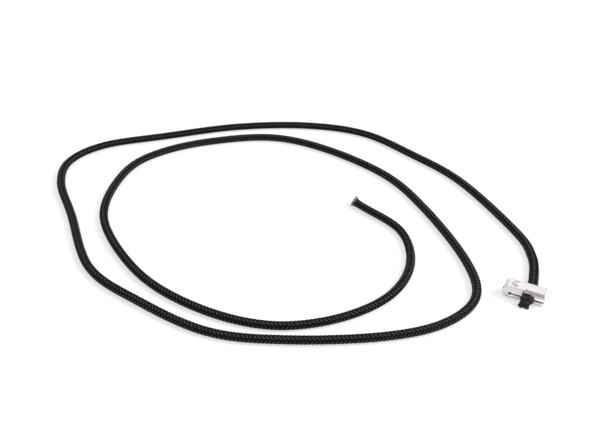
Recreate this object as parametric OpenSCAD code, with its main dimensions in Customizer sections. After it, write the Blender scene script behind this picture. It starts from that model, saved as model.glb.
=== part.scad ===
// A braided cord lying in a loose spiral. One end is held by a split metal
// cord clip, and the other is cut with heat. Millimetres, +Z up.
// The origin is the middle of the clip's underside. +X runs along the clip to
// the open end of its slot, and +Y is the way the cord leaves its back face.

/* [Cord] */
// Diameter of the cord over its sheath
cord_d = 4; // [3.2:0.1:4.6]
// Wall of the braided sheath
sheath_wall = 0.65; // [0.4:0.05:0.9]
// Gap between the core yarns and round them
core_gap = 0.04; // [0.02:0.01:0.1]

/* [Clip] */
// Length of the clip, closed end to open end
clip_l = 19; // [16:0.5:24]
// Depth of the clip, along the cord
clip_depth = 6; // [4.5:0.5:9]
// Height of the jaw that stands on the table
lower_jaw_h = 2.5; // [2.1:0.1:3.5]
// Height of the slot between the jaws
slot_h = 1.1; // [0.8:0.1:1.6]
// Height of the upper jaw
upper_jaw_h = 3.4; // [2.8:0.1:4.5]
// Metal left between the closed end and the root of the slot
bend_l = 3; // [2:0.1:4]
// Diameter of the round relief at the root of the slot
relief_d = 1.6; // [1.2:0.1:2]
// Radius of the two corners of the closed end
bend_r = 2.4; // [1:0.1:3]
// Radius of the corners at the open end
tip_r = 0.5; // [0.2:0.1:0.8]
// Radius of the long edges
edge_r = 0.6; // [0.2:0.1:0.8]

/* [Cord seat] */
// Distance of the cord's bore from the clip's middle
bore_x = 2; // [1:0.25:3.5]
// Gap between the cord and its bore
bore_gap = 0.1; // [0.05:0.01:0.2]

/* [Rivet] */
// Distance of the rivet from the root of the slot
rivet_offset = 2.5; // [2:0.1:3]
// Diameter of the rivet's shank
shank_d = 1.8; // [1.2:0.1:2.2]
// Diameter of the round head
head_d = 3.4; // [2.8:0.1:4]
// Height of the round head
head_h = 0.6; // [0.3:0.1:1]
// Diameter of the countersunk foot
foot_d = 2.8; // [2.4:0.1:3.6]
// Height of the countersunk foot
foot_h = 0.7; // [0.4:0.1:1.2]
// Gap between the rivet and its hole
rivet_gap = 0.05; // [0.02:0.01:0.1]

/* [Ends] */
// Width of the melted head in front of the clip
melt_w = 5.8; // [4.8:0.1:7]
// Length of the melted head
melt_l = 4.6; // [3.5:0.1:6]
// Radius of the melted head's rounded lumps
melt_r = 1.5; // [1:0.1:1.6]
// Diameter of the flare at the free end
flare_d = 4.8; // [4:0.1:5.4]
// Length of the sealed free end
flare_l = 3; // [2:0.1:5]

/* [Hidden] */

$fn = 64;
metal = "gainsboro";
black = "#1b1b1d";
charcoal = "#3a3d3b";
undyed = "#e4e0d6";

// Clip, worked out
clip_h = lower_jaw_h + slot_h + upper_jaw_h;
slot_z = lower_jaw_h + slot_h / 2;
slot_root = -clip_l / 2 + bend_l;
rivet_x = slot_root + rivet_offset;
bore_d = cord_d + 2 * bore_gap;
front_y = -clip_depth / 2;
back_y = clip_depth / 2;

// Cord, worked out. The sheath has sheath_sides flat sides, so what fits
// inside it is measured to the flats and not to the corners.
sheath_sides = 12;
yarn_sides = 6;
ring_steps = 2;
core_count = 4;
bore_flat = (cord_d / 2 - sheath_wall) * cos(180 / sheath_sides) - core_gap;
yarn_r = (bore_flat - core_gap * 0.7) / (1 + 1 / sin(180 / core_count));
yarn_orbit = bore_flat - yarn_r;

// The cord's route: through the clip, down to the table, and round the spiral
// to the free end. Points on the table are [x, y].
table_points = [
    [-3, 28], [-15, 44], [-52, 74], [-84, 88], [-116, 97], [-149, 91],
    [-184, 73], [-216, 47], [-241, 25], [-249, 4], [-241, -15], [-219, -36],
    [-187, -66], [-154, -76], [-116, -80], [-83, -70], [-47, -51], [-26, -32],
    [-19, -10], [-31, 13], [-61, 43], [-90, 63], [-129, 73], [-161, 71],
    [-190, 53], [-209, 32], [-216, 10], [-209, -21], [-192, -42], [-159, -62],
    [-124, -69], [-93, -65], [-69, -49], [-54, -26], [-53, -1], [-66, 21]];
free_end = [-92, 32];
lead_out = 1;
landing = [-0.5, 9];
table_z = cord_d / 2;
route = concat(
    [[bore_x, front_y, slot_z], [bore_x, back_y + lead_out, slot_z],
     [bore_x + landing[0], back_y + landing[1], table_z + (slot_z - table_z) / 3]],
    [for (p = table_points) [p[0], p[1], table_z]],
    [[free_end[0], free_end[1], max(cord_d, flare_d) / 2]]);

// A smooth curve through the route, and the ring frames along it
last = len(route) - 1;
function route_at(i) =
    i < 0 ? 2 * route[0] - route[1]
    : i > last ? 2 * route[last] - route[last - 1]
    : route[i];
function curve(a, b, c, d, t) =
    (2 * b + (c - a) * t + (2 * a - 5 * b + 4 * c - d) * t * t
     + (3 * b - a - 3 * c + d) * t * t * t) / 2;
function slope(a, b, c, d, t) =
    (c - a + 2 * (2 * a - 5 * b + 4 * c - d) * t
     + 3 * (3 * b - a - 3 * c + d) * t * t) / 2;
function unit(v) = v / norm(v);
function above_table(p) = [p[0], p[1], max(p[2], table_z)];
function ring_frame(k) =
    let (i = min(floor(k / ring_steps), last - 1),
         t = k / ring_steps - i,
         p = [for (j = [-1:2]) route_at(i + j)],
         way = unit(slope(p[0], p[1], p[2], p[3], t)),
         side = unit(cross(way, [0, 0, 1])))
    [above_table(curve(p[0], p[1], p[2], p[3], t)), side, cross(side, way)];
frames = [for (k = [0:last * ring_steps]) ring_frame(k)];
end_way = unit(route[last] - route[last - 1]);

// One ring of a tube that runs at a fixed place beside the cord's middle
function ring(f, across, up, r, sides) =
    [for (k = [0:sides - 1])
        f[0] + f[1] * (across + r * cos(360 * k / sides))
             + f[2] * (up + r * sin(360 * k / sides))];
function wall(a, b, rings, sides) =
    [for (i = [0:rings - 2]) for (k = [0:sides - 1])
        let (n = (k + 1) % sides,
             p = a + i * sides, q = p + sides)
        each (b ? [[p + k, q + k, q + n], [p + k, q + n, p + n]]
                : [[p + k, q + n, q + k], [p + k, p + n, q + n]])];

// A solid yarn along the whole cord
module swept_yarn(across, up, r, sides) {
    rings = len(frames);
    points = [for (f = frames) each ring(f, across, up, r, sides)];
    far = (rings - 1) * sides;
    caps = [for (k = [1:sides - 2])
        each [[0, k, k + 1], [far, far + k + 1, far + k]]];
    polyhedron(points, concat(wall(0, true, rings, sides), caps), convexity = 10);
}

// A hollow tube along the whole cord
module swept_tube(r_out, r_in, sides) {
    rings = len(frames);
    points = [for (r = [r_out, r_in]) for (f = frames) each ring(f, 0, 0, r, sides)];
    inner = rings * sides;
    far = inner - sides;
    caps = [for (k = [0:sides - 1])
        let (n = (k + 1) % sides)
        each [[k, n, inner + n], [k, inner + n, inner + k],
              [far + k, inner + far + n, far + n],
              [far + k, inner + far + k, inner + far + n]]];
    polyhedron(points,
        concat(wall(0, true, rings, sides), wall(inner, false, rings, sides), caps),
        convexity = 10);
}

// Rectangle [x0, x1] by [y0, y1] with a radius for its left and right corners
module rounded_box(x0, x1, y0, y1, r_left, r_right) {
    for (y = [y0 + r_left, y1 - r_left]) translate([x0 + r_left, y]) circle(r_left);
    for (y = [y0 + r_right, y1 - r_right]) translate([x1 - r_right, y]) circle(r_right);
    translate([x0 + r_left, y0]) square([x1 - x0 - r_left - r_right, y1 - y0]);
    translate([x0, y0 + r_left]) square([2 * r_left, y1 - y0 - 2 * r_left]);
    translate([x1 - 2 * r_right, y0 + r_right])
        square([2 * r_right, y1 - y0 - 2 * r_right]);
}

// The bar's outline seen from the front, through its whole depth
module bar_side() {
    translate([0, back_y, 0]) rotate([90, 0, 0]) linear_extrude(clip_depth)
        rounded_box(-clip_l / 2, clip_l / 2, 0, clip_h, bend_r, tip_r);
}

// The bar's section with its rounded long edges, over its whole length
module bar_section() {
    translate([-clip_l / 2, 0, 0]) rotate([90, 0, 90]) linear_extrude(clip_l)
        rounded_box(front_y, back_y, 0, clip_h, edge_r, edge_r);
}

module along_depth(x, z, d) {
    translate([x, back_y + 1, z]) rotate([90, 0, 0])
        cylinder(h = clip_depth + 2, d = d);
}

module clip_body() {
    color(metal) difference() {
        intersection() {
            bar_side();
            bar_section();
        }
        translate([slot_root + relief_d / 2, front_y - 1, lower_jaw_h])
            cube([clip_l, clip_depth + 2, slot_h]);
        along_depth(slot_root + relief_d / 2, slot_z, relief_d);
        along_depth(bore_x, slot_z, bore_d);
        translate([rivet_x, 0, -1])
            cylinder(h = clip_h + 2, d = shank_d + 2 * rivet_gap);
        translate([rivet_x, 0, 0]) foot(rivet_gap);
    }
}

// The rivet's countersunk foot, or its seat when it is grown by a gap
module foot(gap) {
    rotate_extrude()
        polygon([[0, -gap], [foot_d / 2 + gap, -gap], [foot_d / 2 + gap, 0],
                 [shank_d / 2 + gap, foot_h + gap], [0, foot_h + gap]]);
}

module clip_rivet() {
    dome_r = (head_d * head_d / 4 + head_h * head_h) / (2 * head_h);
    color("silver") translate([rivet_x, 0, 0]) {
        foot(0);
        cylinder(h = clip_h + head_h / 2, d = shank_d);
        intersection() {
            translate([0, 0, clip_h]) cylinder(h = head_h, d = head_d);
            translate([0, 0, clip_h + head_h - dome_r]) sphere(dome_r);
        }
    }
}

module cord_sheath() {
    color(black) swept_tube(cord_d / 2, cord_d / 2 - sheath_wall, sheath_sides);
}

// One of the parallel yarns of the core, counted round the cord's middle
module core_yarn(number) {
    turn = 360 * (number - 0.5) / core_count;
    color(undyed)
        swept_yarn(yarn_orbit * cos(turn), yarn_orbit * sin(turn), yarn_r, yarn_sides);
}

// The cord's melted end, spread wider than the bore and resting on the table
module melted_head() {
    half = melt_w / 2 - melt_r;
    tip = front_y - melt_l + melt_r;
    near = front_y - melt_r - 0.2;
    color(black) hull() {
        translate([bore_x, front_y, slot_z]) rotate([90, 0, 0])
            cylinder(h = 0.2, d = cord_d, $fn = 32);
        for (x = [-half, half]) {
            translate([bore_x + x, near, slot_z + cord_d / 2 - melt_r])
                sphere(melt_r, $fn = 20);
            translate([bore_x + x, near, melt_r + 0.4]) sphere(melt_r, $fn = 20);
            translate([bore_x + x * 0.85, tip, melt_r]) sphere(melt_r, $fn = 20);
        }
    }
}

// The heat-cut free end: a short flare with a flat, slightly dished face
module sealed_end() {
    dish = 0.3;
    rim = 0.4;
    color(charcoal)
        translate(route[last])
        rotate([0, 90, atan2(end_way[1], end_way[0])])
        rotate_extrude()
        polygon([[0, 0], [cord_d / 2, 0], [cord_d / 2, flare_l * 0.4],
                 [flare_d / 2, flare_l - rim], [flare_d / 2, flare_l - rim / 2],
                 [flare_d / 2 - rim, flare_l], [0, flare_l - dish]]);
}

clip_body();
clip_rivet();
cord_sheath();
core_yarn(1);  // core_yarn_1
core_yarn(2);  // core_yarn_2
core_yarn(3);  // core_yarn_3
core_yarn(4);  // core_yarn_4
melted_head();
sealed_end();
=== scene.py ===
"""Braided cord with a split metal clip, dressed for rendering.

The cord's sheath is braided yarn by yarn along the route that the CAD model
lays down. The clip, its rivet, the melted head and the heat-cut end are
modelled in full. Every length is in metres, in the frame of the CAD model.
"""

import logging
import math
import random
from dataclasses import dataclass, field
from enum import Enum

import bmesh
import bpy
import numpy as np
from mathutils import Matrix, Vector, noise

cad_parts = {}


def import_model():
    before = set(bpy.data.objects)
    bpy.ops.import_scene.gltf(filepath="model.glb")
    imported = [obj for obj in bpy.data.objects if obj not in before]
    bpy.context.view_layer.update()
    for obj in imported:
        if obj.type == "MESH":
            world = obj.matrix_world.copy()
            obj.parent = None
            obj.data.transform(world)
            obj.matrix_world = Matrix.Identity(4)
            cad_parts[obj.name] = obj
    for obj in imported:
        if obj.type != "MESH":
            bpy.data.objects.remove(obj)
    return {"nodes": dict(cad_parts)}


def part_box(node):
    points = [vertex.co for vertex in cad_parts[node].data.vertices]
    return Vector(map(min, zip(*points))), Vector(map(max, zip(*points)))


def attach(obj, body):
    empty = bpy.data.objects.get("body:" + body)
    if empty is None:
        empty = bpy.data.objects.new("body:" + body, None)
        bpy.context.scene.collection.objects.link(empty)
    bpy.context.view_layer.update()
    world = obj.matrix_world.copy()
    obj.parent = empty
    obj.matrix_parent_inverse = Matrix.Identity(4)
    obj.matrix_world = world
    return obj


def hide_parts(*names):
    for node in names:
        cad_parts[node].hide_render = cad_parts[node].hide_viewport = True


LOG = logging.getLogger("cord")
MM = 0.001
WELD = 1e-7
BODY = "root"
WHITE = (1.0, 1.0, 1.0)
CLEARANCE = 0.00002
CURVE_STEPS = 60
LINE_STEP = 0.0004
WAVES = 5
WAVE_SPREAD = (0.6, 2.2)
NOISE = (0.3, 0.7)
NOISE_CORE = (0.35, 0.65)

Array = np.ndarray
BMesh = bmesh.types.BMesh
Material = bpy.types.Material
Mesh = bpy.types.Mesh
Node = bpy.types.Node
Object = bpy.types.Object
Socket = bpy.types.NodeSocket
Span = tuple[float, float]
Triple = tuple[float, float, float]
Pairs = tuple[Span, ...]


class Hand(Enum):
    """The way a yarn of the braid winds round the cord."""

    RIGHT = 1
    LEFT = -1


class Slot(Enum):
    """Names for material slots; no piece in this script is given one."""

    CLIP = "clip_metal"
    RIVET = "rivet_metal"
    SHEATH = "sheath_yarn"
    CORE = "core_yarn"
    MELT = "melted_yarn"
    FACE = "cut_face"


# ---- rows and values


def unit(rows: Array) -> Array:
    """Scale each row of vectors to length one."""
    return rows / np.linalg.norm(rows, axis=1)[:, None]


def between(run: Array, known: Array, rows: Array) -> Array:
    """Read rows of vectors, given at known distances, at other distances."""
    return np.stack([np.interp(run, known, rows[:, k]) for k in range(3)], axis=1)


def circle(sides: int) -> tuple[Array, Array]:
    """Return the cosine and the sine of even steps round a circle."""
    around = 2 * np.pi * np.arange(sides) / sides
    return np.cos(around), np.sin(around)


def held(value: float) -> float:
    """Hold a value between 0 and 1."""
    return min(max(value, 0.0), 1.0)


def bumps(spot: Vector, scale: float, shift: Triple = (0.0, 0.0, 0.0)) -> float:
    """Read a smooth noise at a point, once it is scaled and shifted."""
    return noise.noise(spot * scale + Vector(shift))


def drift(run: Array, span: float, seed: int) -> Array:
    """Read a smooth random wave that wanders between about -1 and 1.

    Args:
        run: Distances at which it is read.
        span: Distance over which it changes.
        seed: Seed of its random lengths and phases.

    Returns:
        The wave's value at each distance.
    """
    dice = random.Random(seed)
    total = np.zeros_like(run)
    for _ in range(WAVES):
        rate = 2 * math.pi / (span * dice.uniform(*WAVE_SPREAD))
        phase = dice.uniform(0, 2 * math.pi)
        total += np.sin(rate * run + phase)
    return total / math.sqrt(WAVES * 2)


# ---- the route


@dataclass(frozen=True)
class Route:
    """The line of the cord's middle, from the clip's front face to the free end.

    The points are those of the CAD model, and so is the smooth curve through
    them.
    """

    bore_x: float = 0.002
    front_y: float = -0.003
    back_y: float = 0.003
    bore_z: float = 0.00305
    lead_out: float = 0.001
    landing: Span = (-0.0005, 0.009)
    table_z: float = 0.002
    end_z: float = 0.0024
    free_end: Span = (-0.092, 0.032)
    table: Pairs = (
        (-0.003, 0.028), (-0.015, 0.044), (-0.052, 0.074), (-0.084, 0.088),
        (-0.116, 0.097), (-0.149, 0.091), (-0.184, 0.073), (-0.216, 0.047),
        (-0.241, 0.025), (-0.249, 0.004), (-0.241, -0.015), (-0.219, -0.036),
        (-0.187, -0.066), (-0.154, -0.076), (-0.116, -0.080), (-0.083, -0.070),
        (-0.047, -0.051), (-0.026, -0.032), (-0.019, -0.010), (-0.031, 0.013),
        (-0.061, 0.043), (-0.090, 0.063), (-0.129, 0.073), (-0.161, 0.071),
        (-0.190, 0.053), (-0.209, 0.032), (-0.216, 0.010), (-0.209, -0.021),
        (-0.192, -0.042), (-0.159, -0.062), (-0.124, -0.069), (-0.093, -0.065),
        (-0.069, -0.049), (-0.054, -0.026), (-0.053, -0.001), (-0.066, 0.021),
    )

    def points(self) -> Array:
        """List the route's points.

        Returns:
            The points, one row each, with a spare one past each end.
        """
        landing = (
            self.bore_x + self.landing[0],
            self.back_y + self.landing[1],
            self.table_z + (self.bore_z - self.table_z) / 3,
        )
        rows = np.array([
            (self.bore_x, self.front_y, self.bore_z),
            (self.bore_x, self.back_y + self.lead_out, self.bore_z),
            landing,
            *((x, y, self.table_z) for x, y in self.table),
            (*self.free_end, self.end_z),
        ])
        before = 2 * rows[0] - rows[1]
        after = 2 * rows[-1] - rows[-2]
        return np.vstack([before, rows, after])

    def curve(self, steps: int) -> Array:
        """Return points on the smooth curve through the route.

        Args:
            steps: Number of points on each span of the route.

        Returns:
            The points, one row each, none lower than a cord on the table.
        """
        rows = self.points()
        t = (np.arange(steps) / steps)[:, None]
        spans = []
        for a, b, c, d in zip(rows, rows[1:], rows[2:], rows[3:]):
            square = 2 * a - 5 * b + 4 * c - d
            cube = 3 * b - a - 3 * c + d
            spans.append((2 * b + (c - a) * t + square * t**2 + cube * t**3) / 2)
        line = np.vstack([*spans, rows[-2]])
        line[:, 2] = np.maximum(line[:, 2], self.table_z)
        return line


@dataclass(frozen=True)
class Line:
    """A line through space with even steps and a frame at each step."""

    points: Array
    way: Array
    side: Array
    up: Array
    run: Array

    @property
    def length(self) -> float:
        """Return the line's length."""
        return float(self.run[-1])

    @classmethod
    def through(cls, points: Array, step: float) -> "Line":
        """Lay even steps along a dense run of points.

        Args:
            points: Dense points, one row each.
            step: Wanted distance between two steps.

        Returns:
            The line, with its sides level and its ups square to its way.
        """
        gaps = np.linalg.norm(np.diff(points, axis=0), axis=1)
        run = np.concatenate([[0.0], np.cumsum(gaps)])
        count = max(2, round(run[-1] / step) + 1)
        even = np.linspace(0.0, run[-1], count)
        rows = between(even, run, points)
        way = unit(np.gradient(rows, axis=0))
        side = unit(np.cross(way, (0.0, 0.0, 1.0)))
        return cls(rows, way, side, np.cross(side, way), even)

    def longer(self, extra: float) -> "Line":
        """Return the line with a straight piece added to its end.

        Args:
            extra: Length of the straight piece.

        Returns:
            The longer line, with the frame of its old end kept.
        """
        points, way, side, up = (
            np.vstack([rows, rows[-1]])
            for rows in (self.points, self.way, self.side, self.up))
        points[-1] += way[-1] * extra
        return Line(points, way, side, up, np.append(self.run, self.run[-1] + extra))

    def at(self, run: Array) -> list[Array]:
        """Return the points, sides and ups at distances from the start."""
        return [between(run, self.run, rows) for rows in (self.points, self.side, self.up)]


# ---- mesh and pieces


def add_object(name: str, data: bpy.types.ID) -> Object:
    """Put a mesh, a light or a camera into the scene as an object.

    Args:
        name: Its name.
        data: Its data.

    Returns:
        The object.
    """
    thing = bpy.data.objects.new(name, data)
    bpy.context.scene.collection.objects.link(thing)
    return thing


def new_piece(name: str, mesh: Mesh, material: Material,
              node: str) -> Object:
    """Put a finished mesh into the scene as a piece that rides on the body.

    Args:
        name: Name of the piece.
        mesh: Its mesh, already in place.
        material: Its finish.
        node: The CAD node that the piece stands for.

    Returns:
        The new object.
    """
    mesh.name = name
    mesh.materials.clear()
    mesh.materials.append(material)
    piece = add_object(name, mesh)
    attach(piece, BODY)
    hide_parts(node)
    LOG.info("%s: %d faces", name, len(mesh.polygons))
    return piece


def mesh_from(bm: BMesh, smooth: bool = True) -> Mesh:
    """Turn a bmesh into a mesh and free it.

    Args:
        bm: The bmesh.
        smooth: Whether its faces are shaded smooth.

    Returns:
        The mesh.
    """
    mesh = bpy.data.meshes.new("mesh")
    bm.to_mesh(mesh)
    bm.free()
    mesh.polygons.foreach_set("use_smooth", [smooth] * len(mesh.polygons))
    mesh.update()
    return mesh


def applied(work: Object) -> Mesh:
    """Apply the modifiers of a work object and remove it.

    Args:
        work: The object.

    Returns:
        The finished mesh.
    """
    bpy.context.view_layer.update()
    seen = work.evaluated_get(bpy.context.evaluated_depsgraph_get())
    made = bpy.data.meshes.new_from_object(seen)
    bpy.data.objects.remove(work)
    return made


def swept(rings: Array, u: Array, crown_light: Array) -> Mesh:
    """Skin rows of ring points with a closed tube that has a UV map.

    The tube starts as a grid. Its vertices move to the rings, and the grid's
    long edges and its two ends are then closed.

    Args:
        rings: Points of each ring, as an array of rings by sides by 3.
        u: The first UV coordinate of each ring. The second runs round the
            ring from 0 to 1.
        crown_light: How far each point stands out, from 0 to 1. The yarn finish paints it
            as a painted highlight where it is high and as painted shade where it is low.

    Returns:
        The tube's mesh, shaded smooth.
    """
    count, sides, _ = rings.shape
    bm = bmesh.new()
    bm.loops.layers.uv.new("UVMap")
    bmesh.ops.create_grid(bm, x_segments=sides, y_segments=count - 1, size=0.5)
    mesh = bpy.data.meshes.new("grid")
    bm.to_mesh(mesh)
    bm.free()
    flat = np.empty(len(mesh.vertices) * 3)
    mesh.vertices.foreach_get("co", flat)
    flat = flat.reshape(-1, 3) + 0.5
    across = np.rint(flat[:, 0] * sides).astype(int)
    along = np.rint(flat[:, 1] * (count - 1)).astype(int)
    mesh.vertices.foreach_set("co", rings[along, across % sides].ravel())
    # Painted light: this attribute makes the yarn finish paint a highlight on the points
    # that stand out and shade on the rest.
    stand = mesh.attributes.new("crown_light", "FLOAT", "POINT")
    stand.data.foreach_set("value", crown_light[along, across % sides].ravel())
    corner = np.empty(len(mesh.loops), dtype=int)
    mesh.loops.foreach_get("vertex_index", corner)
    uv = np.stack([u[along[corner]], across[corner] / sides], axis=1)
    mesh.uv_layers[0].data.foreach_set("uv", uv.ravel())
    bm = bmesh.new()
    bm.from_mesh(mesh)
    bpy.data.meshes.remove(mesh)
    bmesh.ops.remove_doubles(bm, verts=bm.verts, dist=WELD)
    rims = [edge for edge in bm.edges if edge.is_boundary]
    bmesh.ops.holes_fill(bm, edges=rims, sides=0)
    bmesh.ops.recalc_face_normals(bm, faces=bm.faces)
    return mesh_from(bm)


# ---- the finishes


class Tree:
    """A node tree with short calls to add and join its nodes."""

    def __init__(self, tree: bpy.types.NodeTree) -> None:
        """Wrap a node tree."""
        self.tree = tree

    def add(self, kind: str, **settings: object) -> Node:
        """Add a node.

        Args:
            kind: The node's type, without the ShaderNode in front.
            **settings: Properties to set on it.

        Returns:
            The node.
        """
        node = self.tree.nodes.new(f"ShaderNode{kind}")
        for key, value in settings.items():
            setattr(node, key, value)
        return node

    def join(self, source: Socket | float | Triple, target: Socket) -> None:
        """Join an output to an input, or set the input.

        Args:
            source: The output, or a number or a colour.
            target: The input.
        """
        if isinstance(source, Socket):
            self.tree.links.new(source, target)
        elif isinstance(source, tuple):
            target.default_value = (*source, 1.0)
        else:
            target.default_value = source

    def feed(self, node: Node, **inputs: Socket | float | Triple) -> Node:
        """Join or set several inputs of a node.

        Args:
            node: The node.
            **inputs: What each input gets, with _ for a space in its name.

        Returns:
            The node.
        """
        for key, source in inputs.items():
            self.join(source, node.inputs[key.replace("_", " ")])
        return node

    def math(self, operation: str, a: Socket | float,
             b: Socket | float = 0.0) -> Socket:
        """Calculate with two values.

        Args:
            operation: Name of the calculation.
            a: First value, a number or a socket.
            b: Second value, a number or a socket.

        Returns:
            The result's socket.
        """
        node = self.add("Math", operation=operation)
        self.join(a, node.inputs[0])
        self.join(b, node.inputs[1])
        return node.outputs[0]

    def total(self, a: Socket, part_a: float, b: Socket, part_b: float) -> Socket:
        """Add a part of one value to a part of another."""
        return self.math("ADD", self.math("MULTIPLY", a, part_a),
                         self.math("MULTIPLY", b, part_b))

    def remap(self, value: Socket, low: float, high: float,
              to_low: float = 0.0, to_high: float = 1.0) -> Socket:
        """Stretch a value from one range to another and hold it inside."""
        return self.feed(self.add("MapRange"), Value=value, From_Min=low, From_Max=high,
                         To_Min=to_low, To_Max=to_high).outputs["Result"]

    def blend(self, factor: Socket, a: Socket | Triple, b: Triple) -> Socket:
        """Mix two colours, the second by the share that the factor gives."""
        node = self.add("Mix", data_type="RGBA")
        return self.feed(node, Factor=factor, A=a, B=b).outputs["Result"]

    def bump(self, height: Socket, distance: float, strength: float) -> Socket:
        """Disturb the surface's normal by a height of up to a distance."""
        return self.feed(self.add("Bump"), Distance=distance, Strength=strength,
                         Height=height).outputs["Normal"]


class Groups:
    """The node groups that several materials use, each built once."""

    def __init__(self) -> None:
        """Build the groups."""
        self.filaments = self._filaments()
        self.grain = self._grain()

    @staticmethod
    def _start(name: str, **inputs: float) -> tuple[Tree, Node, Node]:
        """Make an empty group that gives a height and a shade.

        Args:
            name: Name of the group.
            **inputs: Usual value of each input.

        Returns:
            The group's tree, and the nodes for its inputs and its outputs.
        """
        tree = bpy.data.node_groups.new(name, "ShaderNodeTree")
        kind = "NodeSocketFloat"
        for key, value in inputs.items():
            made = tree.interface.new_socket(key, in_out="INPUT", socket_type=kind)
            made.default_value = value
        for key in ("Height", "Shade"):
            tree.interface.new_socket(key, in_out="OUTPUT", socket_type=kind)
        return (Tree(tree), tree.nodes.new("NodeGroupInput"),
                tree.nodes.new("NodeGroupOutput"))

    def _filaments(self) -> bpy.types.NodeTree:
        """Build fine threads that run along a yarn on its UV map.

        Returns:
            The group.
        """
        tree, start, end = self._start("filaments", Threads=14.0, Twist=160.0,
                                       Streaks=900.0)
        given = start.outputs
        place = tree.add("SeparateXYZ")
        tree.join(tree.add("UVMap", uv_map="UVMap").outputs["UV"], place.inputs[0])
        along, round_yarn, _ = place.outputs
        turned = tree.math("ADD", round_yarn, tree.math("MULTIPLY", along, given["Twist"]))
        across = tree.math("MULTIPLY", turned, given["Threads"])
        spot = tree.feed(tree.add("CombineXYZ"), X=across,
                         Y=tree.math("MULTIPLY", along, given["Streaks"]))
        streaks = tree.feed(tree.add("TexNoise", noise_dimensions="2D"),
                            Vector=spot.outputs[0], Scale=1.0, Detail=2.0)
        wave = tree.math("SINE", tree.math("MULTIPLY", across, math.pi))
        shade = streaks.outputs["Fac"]
        tree.feed(end, Height=tree.total(tree.math("ABSOLUTE", wave), 0.6, shade, 0.8),
                  Shade=shade)
        return tree.tree

    def _grain(self) -> bpy.types.NodeTree:
        """Build coarse and fine speckle on object coordinates.

        Returns:
            The group.
        """
        tree, start, end = self._start("grain", Coarse=400.0, Fine=4000.0, Stretch=1.0)
        given = start.outputs
        place = tree.add("SeparateXYZ")
        tree.join(tree.add("TexCoord").outputs["Object"], place.inputs[0])
        x, y, z = place.outputs
        spot = tree.feed(tree.add("CombineXYZ"), Y=y, Z=z,
                         X=tree.math("DIVIDE", x, given["Stretch"]))
        coarse, fine = (
            tree.feed(tree.add("TexNoise"), Vector=spot.outputs[0], Scale=given[name],
                      Detail=3.0).outputs["Fac"]
            for name in ("Coarse", "Fine"))
        tree.feed(end, Height=tree.total(coarse, 0.65, fine, 0.35), Shade=coarse)
        return tree.tree


@dataclass(frozen=True)
class Finish:
    """What every finish shares: its name, its shader and the node groups."""

    name: str
    groups: Groups

    def start(self) -> tuple[Material, Tree, Node]:
        """Start a material.

        Returns:
            The material, its tree and its shader.
        """
        material = bpy.data.materials.new(self.name)
        material.use_nodes = True
        tree = Tree(material.node_tree)
        return material, tree, material.node_tree.nodes["Principled BSDF"]


@dataclass(frozen=True)
class YarnFinish(Finish):
    """Filament yarn with fine threads along it and a slight sheen. Its colour is painted
    light and shade: lighter on the tops of the yarns as a painted highlight, and darker
    where they dip as painted shade.
    """

    # dark is the painted shade where the yarns dip, and light is the painted highlight on
    # their tops.
    dark: Triple = (0.0012, 0.0010, 0.0010)
    light: Triple = (0.12, 0.102, 0.101)
    falloff: float = 12.0
    gloss: float = 0.06
    rough: Span = (0.34, 0.48)
    sheen: float = 0.0
    relief: float = 0.00004

    def build(self) -> Material:
        """Build the material.

        Returns:
            The material.
        """
        material, tree, shader = self.start()
        lines = tree.add("Group", node_tree=self.groups.filaments)
        shade = lines.outputs["Shade"]
        # Painted light: points that stand out get the light colour as a painted highlight,
        # and the dips get the dark colour as painted shade.
        crown_light = tree.add("Attribute", attribute_name="crown_light").outputs["Fac"]
        crown = tree.math("POWER", crown_light, self.falloff)
        painted_light_share = tree.math("MULTIPLY", crown, tree.remap(shade, *NOISE, 0.55, 1.0))
        along = tree.add("Tangent", direction_type="UV_MAP", uv_map="UVMap")
        tree.feed(
            shader,
            Base_Color=tree.blend(painted_light_share, self.dark, self.light),
            Roughness=tree.remap(shade, *NOISE, *self.rough),
            Normal=tree.bump(lines.outputs["Height"], self.relief, 0.7),
            Coat_Weight=tree.math("MULTIPLY", crown, self.gloss),
            Coat_Roughness=0.35,
            Sheen_Weight=self.sheen,
            Sheen_Roughness=0.4,
            Specular_IOR_Level=0.04,
            Anisotropic=0.7,
            Anisotropic_Rotation=0.25,
            Tangent=along.outputs[0],
        )
        return material


@dataclass(frozen=True)
class MetalFinish(Finish):
    """Satin metal with fine scratches and bright worn edges."""

    base: Triple = (0.48, 0.455, 0.455)
    shade: Triple = (0.41, 0.385, 0.385)
    bright: Triple = (0.60, 0.585, 0.58)
    rough: Span = (0.26, 0.4)
    stretch: float = 14.0
    relief: float = 0.00002

    def build(self) -> Material:
        """Build the material.

        Returns:
            The material.
        """
        material, tree, shader = self.start()
        grain = tree.feed(tree.add("Group", node_tree=self.groups.grain),
                          Coarse=500.0, Fine=9000.0, Stretch=self.stretch).outputs
        worn = tree.remap(tree.add("NewGeometry").outputs["Pointiness"], 0.51, 0.58)
        body = tree.blend(tree.remap(grain["Shade"], *NOISE_CORE), self.shade, self.base)
        tree.feed(
            shader,
            Base_Color=tree.blend(worn, body, self.bright),
            Roughness=tree.remap(grain["Height"], *NOISE, *self.rough),
            Normal=tree.bump(grain["Height"], self.relief, 0.35),
            Metallic=1.0,
        )
        return material


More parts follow.
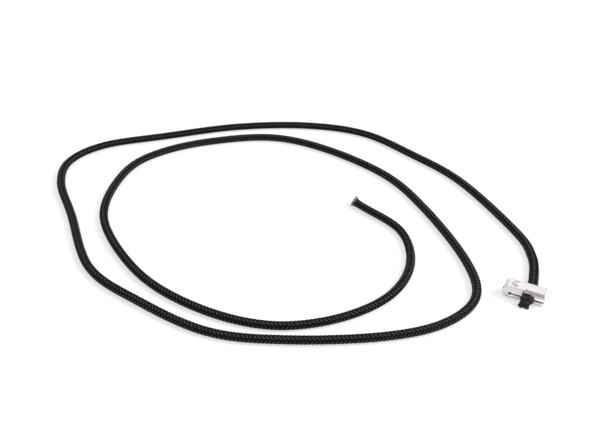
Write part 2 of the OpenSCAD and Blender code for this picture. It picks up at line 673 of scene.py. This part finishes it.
@dataclass(frozen=True)
class MeltFinish(Finish):
    """Yarn melted to a lump: dark, uneven and glossy in patches."""

    dark: Triple = (0.0008, 0.0007, 0.0007)
    light: Triple = (0.016, 0.0135, 0.013)
    rough: Span = (0.3, 0.7)
    relief: float = 0.0005
    shine: float = 0.12

    def build(self) -> Material:
        """Build the material.

        Returns:
            The material.
        """
        material, tree, shader = self.start()
        grain = tree.feed(tree.add("Group", node_tree=self.groups.grain),
                          Coarse=900.0, Fine=6000.0).outputs
        tree.feed(
            shader,
            Base_Color=tree.blend(tree.remap(grain["Shade"], *NOISE_CORE),
                                  self.dark, self.light),
            Roughness=tree.remap(grain["Shade"], *NOISE_CORE, *self.rough),
            Normal=tree.bump(grain["Height"], self.relief, 0.6),
            Specular_IOR_Level=self.shine,
        )
        return material


# ---- the cord


@dataclass
class Sheath:
    """The braided sheath: yarns that wind both ways, over two and under two.

    Each pair is a distance along the cord and a value: how far the cord is spread
    sideways, how sharp and bright the painted highlight on the tops of its yarns is (set
    stretch by stretch for how the light falls there), and how many degrees it is rolled.
    The fields from wander on are small unevenness.
    """

    line: Line
    material: Material
    radius: float = 0.002
    yarns_each_way: int = 6
    stitch: float = 0.00176
    wide: float = 0.00140
    thick: float = 0.00070
    weave_depth: float = 0.00024
    rings_per_stitch: int = 7
    sides: int = 10
    settled: float = 0.92
    spread: Pairs = (
        (0.0, 1.0), (0.0055, 1.0), (0.0075, 1.28), (0.02, 1.24), (0.05, 1.14),
        (1.15, 1.12), (1.2, 1.06),
    )
    # Painted highlight: its sharpness and brightness on the yarns' tops, stretch by
    # stretch along the cord.
    highlight_sharpness: Pairs = (
        (0.0, 1.8), (0.36, 1.8), (0.46, 1.0), (0.63, 1.0), (0.70, 1.8),
        (0.93, 1.8), (1.02, 1.0), (1.11, 1.0), (1.16, 1.6),
    )
    rolls: Pairs = (
        (0.0, 8.0), (0.14, 2.8), (0.25, -6.5), (0.57, -23.5), (0.70, 0.0),
        (0.82, 23.5), (0.95, -5.0), (1.09, -34.0), (1.2, -40.0),
    )
    flatten: float = 0.6
    # Share of the painted highlight kept where a yarn dips under its neighbours; the rest
    # is painted shade.
    under_light_share: float = 0.3
    # Scale of the painted highlight: a plain part, and a part for each step of sharpness
    # above 1.
    highlight_gain: Span = (0.954, 0.06)
    flare: float = 1.22
    tip: float = 0.0030
    slant: float = 22.0
    wander: float = 0.05
    wander_span: float = 0.012
    sink: float = 0.00002
    sink_span: float = 0.007
    swell: float = 0.05
    swell_span: float = 0.01
    over_swell: float = 0.06
    rock: float = 4.0
    rock_span: float = 0.2
    pieces: list[Object] = field(default_factory=list)

    @property
    def whole(self) -> Line:
        """Return the line with the flared tip added."""
        return self.line.longer(self.tip)

    @property
    def pitch(self) -> float:
        """Return the length in which a yarn goes once round the cord."""
        return self.stitch * self.yarns_each_way

    def yarn(self, number: int, hand: Hand) -> Object:
        """Braid one yarn along the whole cord.

        Where the yarn is over its two neighbours depends on its place round
        the cord alone, so the floats of one hand stack in columns.

        Args:
            number: Which of the yarns that wind this way, from 0.
            hand: The way it winds.

        Returns:
            The yarn's piece.
        """
        seed = 10 * number + (1 if hand is Hand.RIGHT else 2)
        length = self.whole.length
        count = round(length / self.stitch * self.rings_per_stitch) + 1
        run = np.linspace(0.0, length, count)
        spacing = 2 * math.pi / self.yarns_each_way
        offset = spacing * number + (spacing / 2 if hand is Hand.LEFT else 0.0)
        turn = hand.value * 2 * math.pi * run / self.pitch + offset
        turn = turn + self.wander * drift(run, self.wander_span, seed)
        over = np.sin(turn * self.yarns_each_way / 2) * hand.value
        flat_top = over * (1 + self.flatten - self.flatten * over**2)
        middle = self.radius - self.thick / 2 - self.weave_depth
        depth = middle + self.weave_depth * flat_top
        depth = depth - self.sink * (1 + drift(run, self.sink_span, seed + 5))
        spine, out, opened = self.laid(run, turn + self.roll(run), depth)
        uneven = self.swell * drift(run, self.swell_span, seed + 7)
        wide = self.wide * opened * (1 + uneven + self.over_swell * np.clip(over, -1, 1))
        name = f"sheath_yarn_{hand.name.lower()}_{number + 1}"
        # The last argument is the yarn's painted highlight and painted shade.
        mesh = swept(self.rings(spine, out, wide), run, self.crown_highlights(run, flat_top))
        return new_piece(name, mesh, self.material, "cord_sheath")

    def laid(self, run: Array, angle: Array,
             depth: Array) -> tuple[Array, Array, Array]:
        """Lay a yarn's middle round the settled cord and its slanted, open end.

        Args:
            run: Distances along the cord.
            angle: The yarn's place round the cord at each distance.
            depth: Its distance from the middle of the cord.

        Returns:
            The yarn's middle, its way out of the cord and how far the cord is
            opened.
        """
        whole = self.whole
        length = whole.length
        centre, side, up = whole.at(run)
        opened = 1 + (self.flare - 1) * np.clip((run - length) / self.tip + 1, 0, 1) ** 2
        wider = np.interp(run, *zip(*self.spread)) * opened
        lower = self.settled * opened
        centre = centre - up * (self.radius * (1 - self.settled))
        spine = (centre + side * (np.cos(angle) * depth * wider)[:, None]
                 + up * (np.sin(angle) * depth * lower)[:, None])
        aside = depth * (np.cos(angle) * wider - np.sin(angle) * lower) / math.sqrt(2)
        share = np.clip((run - length) / (2 * self.tip) + 1, 0, 1)
        slip = math.tan(math.radians(self.slant)) * aside * share
        spine = spine + whole.way[-1] * slip[:, None]
        out = (side * (np.cos(angle) / wider)[:, None]
               + up * (np.sin(angle) / lower)[:, None])
        return spine, out, opened

    def rings(self, spine: Array, out: Array, wide: Array) -> Array:
        """Put an oval ring round each point of a yarn, none below the table.

        Args:
            spine: The yarn's middle.
            out: Its way out of the cord.
            wide: Its width at each point.

        Returns:
            The points, as an array of rings by sides by 3.
        """
        along = unit(np.gradient(spine, axis=0))
        across = unit(np.cross(along, out))
        out = np.cross(across, along)
        cosine, sine = circle(self.sides)
        rings = (spine[:, None]
                 + across[:, None] * (cosine[None, :, None] * wide[:, None, None] / 2)
                 + out[:, None] * (sine[None, :, None] * self.thick / 2))
        rings[..., 2] = np.maximum(rings[..., 2], 0.0)
        return rings

    def crown_highlights(self, run: Array, flat_top: Array) -> Array:
        """Find how far each point of a yarn stands out, for the painted highlight and
        painted shade of its finish.

        Args:
            run: Distances along the cord.
            flat_top: How far the yarn is over its neighbours, from -1 to 1.

        Returns:
            The shares from 0 to 1, as an array of rings by sides.
        """
        over = np.clip((flat_top + 0.2) / 1.1, 0, 1)
        light_share = self.under_light_share + (1 - self.under_light_share) * over
        highlight_sharpness = np.interp(run, *zip(*self.highlight_sharpness))[:, None]
        crown_light = np.clip(circle(self.sides)[1], 0, 1)[None, :] * light_share[:, None]
        plain, extra = self.highlight_gain
        return crown_light**highlight_sharpness * (plain + extra * (highlight_sharpness - 1))

    def roll(self, run: Array) -> Array:
        """Return by how many radians the cord is rolled about its own line."""
        slow = np.interp(run, *zip(*self.rolls))
        return np.radians(slow + self.rock * drift(run, self.rock_span, 77))

    def build(self) -> None:
        """Braid every yarn."""
        self.pieces += [self.yarn(number, hand) for hand in Hand
                        for number in range(self.yarns_each_way)]


@dataclass
class Core:
    """The parallel yarns inside the sheath."""

    line: Line
    material: Material
    count: int = 4
    yarn_radius: float = 0.00030
    orbit: float = 0.00044
    lay: float = 0.03
    ring_step: float = 0.0025
    sides: int = 8
    pieces: list[Object] = field(default_factory=list)

    def build(self) -> None:
        """Make each yarn a rod that winds slowly round the cord's middle."""
        length = self.line.length
        run = np.linspace(0.0, length, round(length / self.ring_step) + 1)
        centre, side, up = self.line.at(run)
        cosine, sine = circle(self.sides)
        for number in range(self.count):
            turn = 2 * np.pi * (run / self.lay + (number + 0.5) / self.count)
            spot = side * np.cos(turn)[:, None] + up * np.sin(turn)[:, None]
            middle = centre + spot * self.orbit
            rings = (middle[:, None]
                     + side[:, None] * (cosine * self.yarn_radius)[None, :, None]
                     + up[:, None] * (sine * self.yarn_radius)[None, :, None])
            node = f"core_yarn_{number + 1}"
            name = f"{node}_thread"
            # The core yarns get the full painted crown light everywhere, so no painted
            # shade.
            mesh = swept(rings, run, np.ones(rings.shape[:2]))
            self.pieces.append(
                new_piece(name, mesh, self.material, node))


@dataclass(frozen=True)
class Blob:
    """An ellipsoid of melted yarn, in millimetres from the bore's mouth."""

    middle: Triple
    reach: Triple
    lean: float


@dataclass
class MeltedHead:
    """The cord's end in front of the clip: yarns melted to a rough lump."""

    material: Material
    mouth: Vector
    blobs: tuple[Blob, ...] = (
        Blob((0.3, -1.15, 0.05), (3.05, 1.55, 2.05), 8.0),
        Blob((-0.25, -2.6, -1.35), (2.5, 1.75, 1.75), -12.0),
        Blob((-1.9, -3.5, -2.3), (1.25, 0.75, 0.62), 18.0),
        Blob((0.9, -3.3, -2.0), (1.3, 1.1, 1.1), 30.0),
        Blob((-1.1, -0.9, 0.6), (1.2, 0.8, 0.9), -20.0),
    )
    voxel: float = 0.00009
    grain: float = 0.0002

    def rough(self, spot: Vector) -> float:
        """Find how far the melt bulges at a point.

        Args:
            spot: The point.

        Returns:
            The bulge, from about -1 to 1.
        """
        coarse = bumps(spot, 700.0, (3.1, 0.4, 1.7))
        ridge = 1 - 2 * abs(bumps(spot, 1500.0, (0.7, 4.2, 2.9)))
        fine = bumps(spot, 3800.0)
        return 1.3 * coarse + 0.55 * ridge + 0.35 * fine - 0.2

    def lump(self) -> Mesh:
        """Fuse the blobs.

        Returns:
            One closed skin round all of them.
        """
        bm = bmesh.new()
        for blob in self.blobs:
            turned = Matrix.Rotation(math.radians(blob.lean), 4, "Y")
            place = Matrix.Translation(self.mouth + Vector(blob.middle) * MM) @ turned
            size = Matrix.Diagonal((*blob.reach, 1.0))
            ball = bmesh.ops.create_icosphere(bm, subdivisions=4, radius=MM)["verts"]
            bmesh.ops.transform(bm, matrix=place @ size, verts=ball)
        work = add_object("head_work", mesh_from(bm))
        fuse = work.modifiers.new("Fuse", "REMESH")
        fuse.mode = "VOXEL"
        fuse.voxel_size = self.voxel
        return applied(work)

    def build(self) -> Object:
        """Build the piece.

        Returns:
            The piece.
        """
        made = self.lump()
        bm = bmesh.new()
        bm.from_mesh(made)
        bpy.data.meshes.remove(made)
        for _ in range(3):
            bmesh.ops.smooth_vert(bm, verts=bm.verts, factor=0.5,
                                  use_axis_x=True, use_axis_y=True, use_axis_z=True)
        bm.normal_update()
        moved = [v.co + v.normal * self.grain * self.rough(v.co) for v in bm.verts]
        for vert, spot in zip(bm.verts, moved):
            vert.co = spot
            vert.co.z = max(vert.co.z, 0.0)
            vert.co.y = min(vert.co.y, self.mouth.y - CLEARANCE)
        return new_piece("melted_head_lump", mesh_from(bm), self.material,
                         "melted_head")


@dataclass
class SealedEnd:
    """The heat-cut free end: a thin uneven rim round a dull, slanted face.

    Each pair is a ring of the plain rim: how far it lies behind the face, and
    its share of the radius.
    """

    material: Material
    start: Vector
    axes: tuple[Vector, ...]
    slant: float
    length: float = 0.0039
    radius: float = 0.00262
    rings: Pairs = (
        (0.0015, 0.66), (0.0011, 0.86), (0.0008, 0.965), (0.0005, 1.0),
        (0.0002, 1.01), (0.00005, 0.985), (0.0, 0.93), (0.00006, 0.84),
        (0.0001, 0.62), (0.00014, 0.3),
    )
    flap_turn: float = 70.0
    flap_spread: float = 14.0
    flap: float = 0.0006
    segments: int = 90

    def worn(self, spot: Vector) -> Vector:
        """Return where the heat left a point of the plain rim.

        Args:
            spot: The point, with the cord's up, side and way as its axes.

        Returns:
            The point moved in or out, and the flap drawn out.
        """
        flat = Vector((spot.x, spot.y, 0.0))
        if flat.length < 1e-9:
            return spot
        out = flat.normalized()
        turn = math.degrees(math.atan2(spot.y, spot.x))
        near = math.exp(-((turn - self.flap_turn) / self.flap_spread) ** 2)
        share = (flat.length / self.radius) ** 4
        push = 0.00022 * bumps(out, 2.1, (5.0, 1.0, 0.0))
        push += 0.00007 * bumps(spot, 2500.0)
        back = 0.0003 * bumps(out, 1.7, (0.0, 3.0, 2.0))
        back += 0.0001 * bumps(spot, 1900.0, (9.0, 0.0, 0.0))
        spot = spot + out * share * (push + self.flap * near)
        spot.z += share * back
        spot.z += math.tan(math.radians(self.slant)) * (spot.y - spot.x) / math.sqrt(2)
        return spot

    def build(self) -> Object:
        """Build the piece.

        Returns:
            The piece.
        """
        bm = bmesh.new()
        turned = Matrix(self.axes).transposed().to_4x4()
        place = Matrix.Translation(self.start) @ turned
        (height, radius), *others = (
            (self.length - back, self.radius * share) for back, share in self.rings)
        bmesh.ops.create_circle(bm, cap_ends=True, segments=self.segments,
                                radius=radius)
        face = bm.faces[:][0]
        bmesh.ops.translate(bm, verts=face.verts, vec=(0, 0, height))
        rim = list(face.edges)
        for at, wide in others:
            made = bmesh.ops.extrude_edge_only(bm, edges=rim)["geom"]
            verts = [g for g in made if isinstance(g, bmesh.types.BMVert)]
            rim = [g for g in made if isinstance(g, bmesh.types.BMEdge)]
            bmesh.ops.translate(bm, verts=verts, vec=(0, 0, at - height))
            grow = wide / radius
            bmesh.ops.scale(bm, verts=verts, vec=(grow, grow, 1.0))
            radius, height = wide, at
        bmesh.ops.holes_fill(bm, edges=rim, sides=0)
        bmesh.ops.recalc_face_normals(bm, faces=bm.faces)
        for vert in bm.verts:
            vert.co = self.worn(vert.co)
        bmesh.ops.transform(bm, matrix=place, verts=bm.verts)
        for vert in bm.verts:
            vert.co.z = max(vert.co.z, 0.0)
        return new_piece("sealed_end_collar", mesh_from(bm), self.material,
                         "sealed_end")


# ---- the clip


@dataclass
class Clip:
    """The split bar: closed and rounded at one end, slotted to the other.

    The cuts give the plain bar points to bend at. Each is an axis, with the
    first place, the end and the step of the planes that stand across it.
    """

    material: Material
    low: Vector
    high: Vector
    bore_x: float = 0.002
    bore_radius: float = 0.0021
    slot_middle: Span = (0.00305, 0.00265)
    slot_gap: Span = (0.00055, 0.00125)
    slot_root: float = -0.0065
    relief_radius: float = 0.0008
    bend_radius: float = 0.0031
    edge_radius: float = 0.0006
    edge_angle: float = 40.0
    lip_radius: float = 0.0003
    cuts: tuple[tuple[int, float, float, float], ...] = (
        (0, -0.009, 0.0092, 0.0004), (2, 0.0001, 0.0014, 0.00015),
        (2, 0.0040, 0.0069, 0.0002), (1, -0.0022, 0.0023, 0.0004),
    )
    crease_x: float = -0.0004
    crease_width: float = 0.0012
    ridge: float = 0.00008
    ridge_width: float = 0.0005
    fall: float = 0.02
    roll_start: float = 0.0040
    roll_back: float = 0.0011
    tuck_under: float = 0.0007
    tuck_height: float = 0.0014
    rivet_x: float = -0.004
    rivet_hole: float = 0.00095

    def bar(self) -> BMesh:
        """Make the solid bar.

        Returns:
            The bar with its rounded end and edges, pressed to shape.
        """
        bm = bmesh.new()
        size = self.high - self.low
        middle = (self.low + self.high) / 2
        bmesh.ops.create_cube(bm, size=1.0)
        bmesh.ops.scale(bm, vec=size, verts=bm.verts)
        bmesh.ops.translate(bm, vec=middle, verts=bm.verts)
        ends = [(edge, *(vert.co for vert in edge.verts)) for edge in bm.edges]
        closed = [edge for edge, a, b in ends
                  if a.x < middle.x and abs(a.y - b.y) > size.y / 2]
        bmesh.ops.bevel(bm, geom=closed, offset=self.bend_radius, segments=14,
                        profile=0.5, affect="EDGES", material=-1)
        sharp = math.radians(self.edge_angle)
        rest = [e for e in bm.edges if e.calc_face_angle(0.0) > sharp]
        bmesh.ops.bevel(bm, geom=rest, offset=self.edge_radius, segments=5,
                        profile=0.5, affect="EDGES", material=-1)
        for axis, first, end, step in self.cuts:
            normal = Vector([float(k == axis) for k in range(3)])
            for at in np.arange(first, end, step):
                bmesh.ops.bisect_plane(
                    bm, geom=[*bm.verts, *bm.edges, *bm.faces], dist=WELD,
                    plane_co=normal * float(at), plane_no=normal)
        for vert in bm.verts:
            vert.co = self.pressed(vert.co)
        return bm

    def pressed(self, spot: Vector) -> Vector:
        """Return where pressing and filing move a point of the plain bar.

        Args:
            spot: The point on the plain bar.

        Returns:
            The point with the front edge rolled back past the crease, the lower
            edges tucked under and the top slightly crowned over the cord.
        """
        wide = self.high.y
        past = held((spot.x - self.crease_x) / self.crease_width)
        past = past * past * (3 - 2 * past)
        top = held((spot.z - self.roll_start) / (self.high.z - self.roll_start))
        foot = held((self.tuck_height - spot.z) / self.tuck_height)
        front = max(-spot.y / wide, 0.0)
        side = abs(spot.y) / wide
        moved = spot.copy()
        moved.y += self.roll_back * past * top**1.3 * front
        moved.y -= math.copysign(self.tuck_under * foot**2 * side, spot.y)
        ridge = math.exp(-((spot.x - self.crease_x) / self.ridge_width) ** 2)
        slope = max(spot.x - self.crease_x, 0.0) * self.fall
        moved.z += top**2 * (self.ridge * ridge - slope)
        return moved

    def cutter(self) -> BMesh:
        """Make what is cut out of the bar.

        Returns:
            The slot, its relief, the cord's bore and the rivet's hole.
        """
        bm = bmesh.new()
        depth = (self.high.y - self.low.y) * 1.5
        bore_z = self.slot_middle[0]
        relief_x = self.slot_root + self.relief_radius
        slot_length = self.high.x - relief_x
        for vert in bmesh.ops.create_cube(bm, size=1.0)["verts"]:
            share = vert.co.x + 0.5
            middle, gap = (root * (1 - share) + mouth * share
                           for root, mouth in (self.slot_middle, self.slot_gap))
            vert.co = Vector((relief_x + share * slot_length * 1.05,
                              vert.co.y * depth, middle + vert.co.z * gap))

        def drill(radius: float, deep: float, segments: int) -> list[bmesh.types.BMVert]:
            """Add an upright cylinder round the origin."""
            return bmesh.ops.create_cone(
                bm, cap_ends=True, segments=segments, radius1=radius,
                radius2=radius, depth=deep)["verts"]

        for x, radius in ((relief_x, self.relief_radius),
                          (self.bore_x, self.bore_radius)):
            hole = drill(radius, depth, 72)
            bmesh.ops.rotate(bm, verts=hole, cent=(0, 0, 0),
                             matrix=Matrix.Rotation(math.pi / 2, 3, "X"))
            bmesh.ops.translate(bm, verts=hole, vec=(x, 0, bore_z))
        hole = drill(self.rivet_hole, self.high.z * 2, 48)
        bmesh.ops.translate(bm, verts=hole, vec=(self.rivet_x, 0, 0.003))
        return bm

    def build(self) -> Object:
        """Build the piece.

        Returns:
            The piece.
        """
        knife = add_object("clip_cutter", mesh_from(self.cutter()))
        work = add_object("clip_work", mesh_from(self.bar()))
        cut = work.modifiers.new("Cut", "BOOLEAN")
        cut.object = knife
        cut.operation = "DIFFERENCE"
        cut.solver = "EXACT"
        cut.use_self = True
        lips = work.modifiers.new("Lips", "BEVEL")
        lips.width = self.lip_radius
        lips.segments = 4
        lips.limit_method = "ANGLE"
        lips.angle_limit = math.radians(self.edge_angle)
        lips.use_clamp_overlap = True
        lips.face_strength_mode = "FSTR_ALL"
        even = work.modifiers.new("Even", "WEIGHTED_NORMAL")
        even.use_face_influence = True
        made = applied(work)
        bpy.data.objects.remove(knife)
        return new_piece("clip_bar", made, self.material, "clip_body")


@dataclass
class Rivet:
    """The round-headed rivet through both jaws."""

    material: Material
    x: float
    low_z: float
    seat_z: float
    top_z: float
    shank: float = 0.0009
    head: float = 0.0017
    foot: float = 0.0014
    foot_edge: float = 0.0001
    foot_height: float = 0.0007
    dome_steps: int = 12
    turn_steps: int = 56
    sharp_angle: float = 35.0

    def profile(self) -> list[Span]:
        """List the points that are spun.

        Returns:
            Radius and height of each point, from the foot to the crown.
        """
        dome = []
        rise = self.top_z - self.seat_z
        for step in range(self.dome_steps + 1):
            angle = math.pi / 2 * step / self.dome_steps
            dome.append((self.head * math.cos(angle) ** 0.5,
                         self.seat_z + rise * math.sin(angle) ** 0.62))
        return [
            (0.0, self.low_z), (self.foot, self.low_z),
            (self.foot, self.low_z + self.foot_edge),
            (self.shank, self.low_z + self.foot_height),
            (self.shank, self.seat_z), (self.head, self.seat_z), *dome,
        ]

    def build(self) -> Object:
        """Build the piece.

        Returns:
            The piece.
        """
        bm = bmesh.new()
        verts = [bm.verts.new((radius, 0.0, z)) for radius, z in self.profile()]
        edges = [bm.edges.new(pair) for pair in zip(verts, verts[1:])]
        bmesh.ops.spin(bm, geom=verts + edges, cent=(0, 0, 0), axis=(0, 0, 1),
                       angle=2 * math.pi, steps=self.turn_steps, use_merge=True)
        bmesh.ops.remove_doubles(bm, verts=bm.verts, dist=WELD)
        bmesh.ops.recalc_face_normals(bm, faces=bm.faces)
        bmesh.ops.translate(bm, verts=bm.verts, vec=(self.x, 0, 0))
        mesh = mesh_from(bm)
        mesh.set_sharp_from_angle(angle=math.radians(self.sharp_angle))
        return new_piece("clip_rivet_turned", mesh, self.material,
                         "clip_rivet")


# ---- the studio


@dataclass(frozen=True)
class Softbox:
    """A rectangular soft light that hangs round the middle of the cord.

    Its bearing is turned from the camera's right towards its back, and its
    height is an angle too. Both are in degrees.
    """

    name: str
    bearing: float
    height: float
    distance: float
    size: Span
    power: float

    def hang(self, middle: Vector, camera_turn: float) -> None:
        """Hang the light.

        Args:
            middle: The point that it faces.
            camera_turn: How far the camera is turned, in degrees.
        """
        data = bpy.data.lights.new(self.name, "AREA")
        data.shape = "RECTANGLE"
        data.size, data.size_y = self.size
        data.energy = self.power
        turn = math.radians(self.bearing + camera_turn)
        rise = math.radians(self.height)
        way = Vector((math.cos(turn) * math.cos(rise),
                      math.sin(turn) * math.cos(rise), math.sin(rise)))
        lamp = add_object(self.name, data)
        lamp.location = middle + way * self.distance
        lamp.rotation_euler = way.to_track_quat("Z", "Y").to_euler()


@dataclass(frozen=True)
class Studio:
    """Camera, pale floor and soft light.

    Each pair of floor values is what the cord and the clip get from the
    floor, and what the camera sees. The camera sees it glow more evenly, so
    that the shadows on it stay soft.
    """

    eye: Triple = (0.0389, -0.3194, 0.2741)
    down: float = 36.5
    turn: float = 25.0
    lens: float = 54.9
    floor_size: float = 6.0
    floor_tones: Span = (0.62, 0.22)
    floor_glow: Span = (0.42, 0.6)
    surroundings: float = 0.12
    backdrop: float = 0.33
    middle: Triple = (-0.12, 0.01, 0.0)
    boxes: tuple[Softbox, ...] = (
        Softbox("key", 355.0, 38.0, 1.4, (0.9, 0.7), 36.0),
        Softbox("overhead", 90.0, 84.0, 1.4, (2.1, 1.9), 21.0),
        Softbox("back_panel", 82.0, 39.0, 1.4, (1.2, 0.7), 5.0),
        Softbox("back_card", 104.0, 12.5, 1.4, (1.6, 0.6), 4.2),
        Softbox("left_fill", 212.0, 42.0, 1.3, (1.1, 1.0), 6.0),
        Softbox("left_wall", 180.0, 12.0, 1.4, (1.6, 0.8), 6.5),
        Softbox("front_card", 270.0, 20.0, 1.4, (1.8, 0.7), 2.2),
    )

    def camera(self) -> None:
        """Place the camera."""
        data = bpy.data.cameras.new("camera")
        data.lens = self.lens
        data.sensor_width = 36.0
        data.clip_start = 0.01
        camera = add_object("camera", data)
        camera.location = self.eye
        camera.rotation_euler = (math.radians(90 - self.down), 0.0,
                                 math.radians(self.turn))
        bpy.context.scene.camera = camera

    def floor(self) -> None:
        """Lay the pale, faintly glowing floor."""
        bm = bmesh.new()
        bmesh.ops.create_grid(bm, x_segments=1, y_segments=1, size=self.floor_size / 2)
        floor = add_object("floor", mesh_from(bm, smooth=False))
        paint = bpy.data.materials.new("floor_paint")
        paint.use_nodes = True
        tree = Tree(paint.node_tree)
        seen = tree.add("LightPath").outputs["Is Camera Ray"]
        given, shown = self.floor_tones
        tree.feed(
            paint.node_tree.nodes["Principled BSDF"],
            Base_Color=tree.blend(seen, (given,) * 3, (shown,) * 3),
            Emission_Strength=tree.remap(seen, 0.0, 1.0, *self.floor_glow),
            Emission_Color=WHITE,
            Roughness=0.6,
            Specular_IOR_Level=0.04,
        )
        floor.data.materials.append(paint)

    def light(self) -> None:
        """Hang the lights and set the even surroundings and the backdrop."""
        world = bpy.data.worlds.new("surroundings")
        world.use_nodes = True
        tree = Tree(world.node_tree)
        seen = tree.add("LightPath").outputs["Is Camera Ray"]
        tree.feed(
            world.node_tree.nodes["Background"],
            Color=WHITE,
            Strength=tree.remap(seen, 0.0, 1.0, self.surroundings, self.backdrop),
        )
        bpy.context.scene.world = world
        bpy.context.scene.view_settings.view_transform = "Standard"
        for box in self.boxes:
            box.hang(Vector(self.middle), self.turn)


def main() -> None:
    """Build the scene piece by piece."""
    logging.basicConfig(level=logging.INFO, format="%(name)s: %(message)s")
    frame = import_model()
    LOG.info("frame: %d CAD nodes", len(frame["nodes"]))
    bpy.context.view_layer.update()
    studio = Studio()
    studio.camera()

    groups = Groups()
    black = YarnFinish("black_braid_yarn", groups).build()
    undyed = YarnFinish("undyed_core_yarn", groups, dark=(0.5, 0.48, 0.43),
                        light=(0.82, 0.8, 0.74), sheen=0.2).build()
    satin = MetalFinish("satin_clip_metal", groups).build()
    nickel = MetalFinish("nickel_rivet_metal", groups, base=(0.42, 0.40, 0.395),
                         shade=(0.37, 0.35, 0.345), rough=(0.5, 0.65),
                         stretch=1.0).build()
    melt = MeltFinish("melted_yarn", groups).build()
    face = MeltFinish("heat_cut_face", groups, dark=(0.03, 0.032, 0.03),
                      light=(0.17, 0.178, 0.17), rough=(0.4, 0.75),
                      relief=0.0002, shine=0.2).build()

    route = Route()
    line = Line.through(route.curve(CURVE_STEPS), LINE_STEP)
    sheath = Sheath(line, black)
    sheath.build()
    core = Core(line, undyed)
    core.build()
    mouth = Vector((route.bore_x, route.front_y, route.bore_z))
    head = MeltedHead(melt, mouth).build()
    axes = (Vector(line.up[-1]), Vector(line.side[-1]), Vector(line.way[-1]))
    end = SealedEnd(face, Vector(line.points[-1]), axes, sheath.slant).build()
    whole = sheath.whole

    low, high = (Vector(corner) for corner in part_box("clip_body"))
    Clip(satin, low, high).build()
    rivet_low, rivet_high = (Vector(corner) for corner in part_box("clip_rivet"))
    Rivet(nickel, (rivet_low.x + rivet_high.x) / 2, rivet_low.z + CLEARANCE,
          high.z, rivet_high.z).build()

    studio.floor()
    studio.light()


if __name__ == "__main__":
    main()
